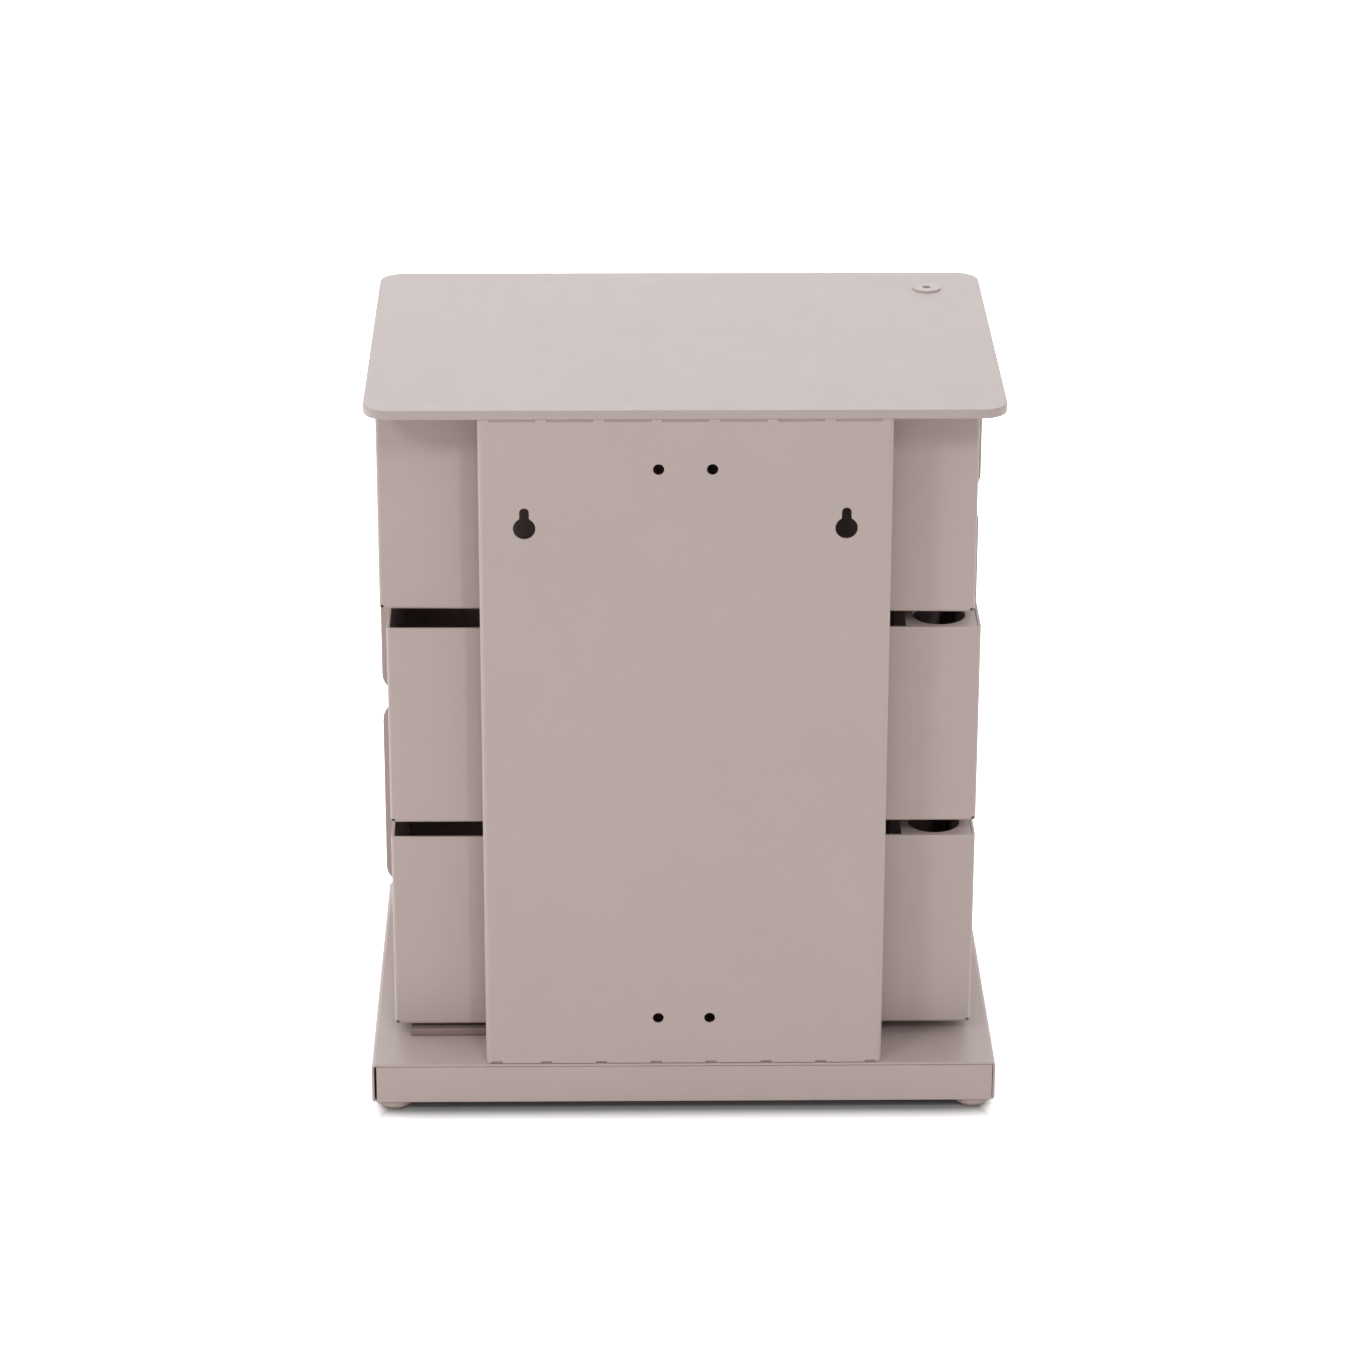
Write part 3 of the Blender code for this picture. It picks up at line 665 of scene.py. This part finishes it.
makePivot(zincPlate, naturalNylon, powderCoat)
makeCap(capLook, powderCoat)
makeNuts(nutLook, zincPlate)
makeBaseBolt(baseBoltLook, zincPlate)
makeFeet(footLook, glidePlastic)
makeBumpers(bumperLook, blackRubber)
print("turned and hexagonal pieces made")

# edges past leastAngle are rounded, and faces that meet flat within flatWithin are joined; both in degrees
edgeLook = {"leastAngle": 50, "steps": 2, "profile": 0.5, "mergeWithin": 2e-6, "flatWithin": 0.4}

# by the end of a sheet's name: the radius of its edges in metres, or 0 where the node has them rounded;
# tight has edges too close together for the whole radius, sharpBelow keeps the bend reliefs sharp, and
# reach takes one end of a skin on to the sheet that its node stops short of
sheetLook = {
    "top_plate": {"radius": 0.0, "finish": paintedSheenCoat},
    "back_column": {
        "radius": 0.0003,
        "reach": {"axis": 2, "side": 1, "end": 0.0002, "by": 0.00028},  # the tabs come up under the plate
    },
    "base_tray": {"radius": 0.0003, "tight": True},
    "base_rear_panel": {
        "radius": 0.0,
        "reach": {"axis": 0, "side": -1, "end": 0.0005, "by": 0.0011},  # its seam on the pivot side is tight
    },
    "drawer_rest": {"radius": 0.0, "finish": paintedShadeRest},
    "drawer_tray": {"radius": 0.0002, "sharpBelow": 0.006},
    "drawer_front": {"radius": 0.0002},
    "gusset": {"radius": 0.0002},
}


def pointsOf(mesh):
    points = np.empty(len(mesh.vertices) * 3)
    mesh.vertices.foreach_get("co", points)
    return points.reshape(-1, 3)


def reachOut(mesh, reach):
    # the points at one end of the mesh move out by reach["by"]; gives the place past which they now lie
    points = pointsOf(mesh)
    along = reach["side"] * points[:, reach["axis"]]
    points[along > along.max() - reach["end"], reach["axis"]] += reach["side"] * reach["by"]
    mesh.vertices.foreach_set("co", points.ravel())
    return along.max() + reach["by"] - reach["end"]


def sharpenEnd(mesh, reach, limit):
    # an edge with both ends past the limit is sharp
    past = reach["side"] * pointsOf(mesh)[:, reach["axis"]] > limit
    ends = np.empty(len(mesh.edges) * 2, np.int32)
    mesh.edges.foreach_get("vertices", ends)
    sharp = np.empty(len(mesh.edges), bool)
    mesh.edges.foreach_get("use_edge_sharp", sharp)
    mesh.edges.foreach_set("use_edge_sharp", sharp | past[ends.reshape(-1, 2)].all(axis=1))


def roundEdges(bm, edgeLayer, look, seated):
    # the sheet's own edges, without those that are seated on another sheet or belong to a bend relief
    lowest = min(v.co.z for v in bm.verts) + look.get("sharpBelow", 0)
    least = math.radians(edgeLook["leastAngle"])
    sharp = [e for e in bm.edges if len(e.link_faces) == 2 and e.calc_face_angle(0) > least]
    sharp = [e for e in sharp if not seated(e) and min(v.co.z for v in e.verts) >= lowest]
    made = bmesh.ops.bevel(bm, geom=sharp, offset=look["radius"], segments=edgeLook["steps"],
                           profile=edgeLook["profile"], affect="EDGES",
                           clamp_overlap=look.get("tight", False))
    for face in made["faces"]:
        face[edgeLayer] = 1.0


def dressSheet(name, look):
    # a merged copy of the node with its sheet edges rounded; the rounding carries the attribute "edge"
    source = frame["nodes"][name].data.copy()
    reach = look.get("reach")
    limit = reachOut(source, reach) if reach else 0

    def seated(edge):
        return reach and all(reach["side"] * v.co[reach["axis"]] > limit for v in edge.verts)

    bm = bmesh.new()
    bm.from_mesh(source)
    bpy.data.meshes.remove(source)
    flat = math.radians(edgeLook["flatWithin"])
    bmesh.ops.remove_doubles(bm, verts=bm.verts, dist=edgeLook["mergeWithin"])
    bmesh.ops.dissolve_limit(bm, angle_limit=flat, verts=bm.verts, edges=bm.edges)
    edgeLayer = bm.faces.layers.float.new("edge")
    if look["radius"]:
        roundEdges(bm, edgeLayer, look, seated)
    for face in bm.faces:
        face.smooth = True
    mesh = bpy.data.meshes.new(name + "_skin")
    bm.to_mesh(mesh)
    bm.free()
    linkPiece(name, mesh, look.get("finish", powderCoat), edgeLook["leastAngle"])
    if reach:
        sharpenEnd(mesh, reach, limit)


sheetNodes = [name for name in sheetLook if name in frame["nodes"]]
sheetNodes += [n for n in sorted(frame["nodes"]) if n not in sheetLook and n.endswith(tuple(sheetLook))]
for name in sheetNodes:
    dressSheet(name, next(look for ending, look in sheetLook.items() if name.endswith(ending)))
print("sheet pieces dressed:", len(sheetNodes))

bpy.context.scene.view_settings.view_transform = "Standard"
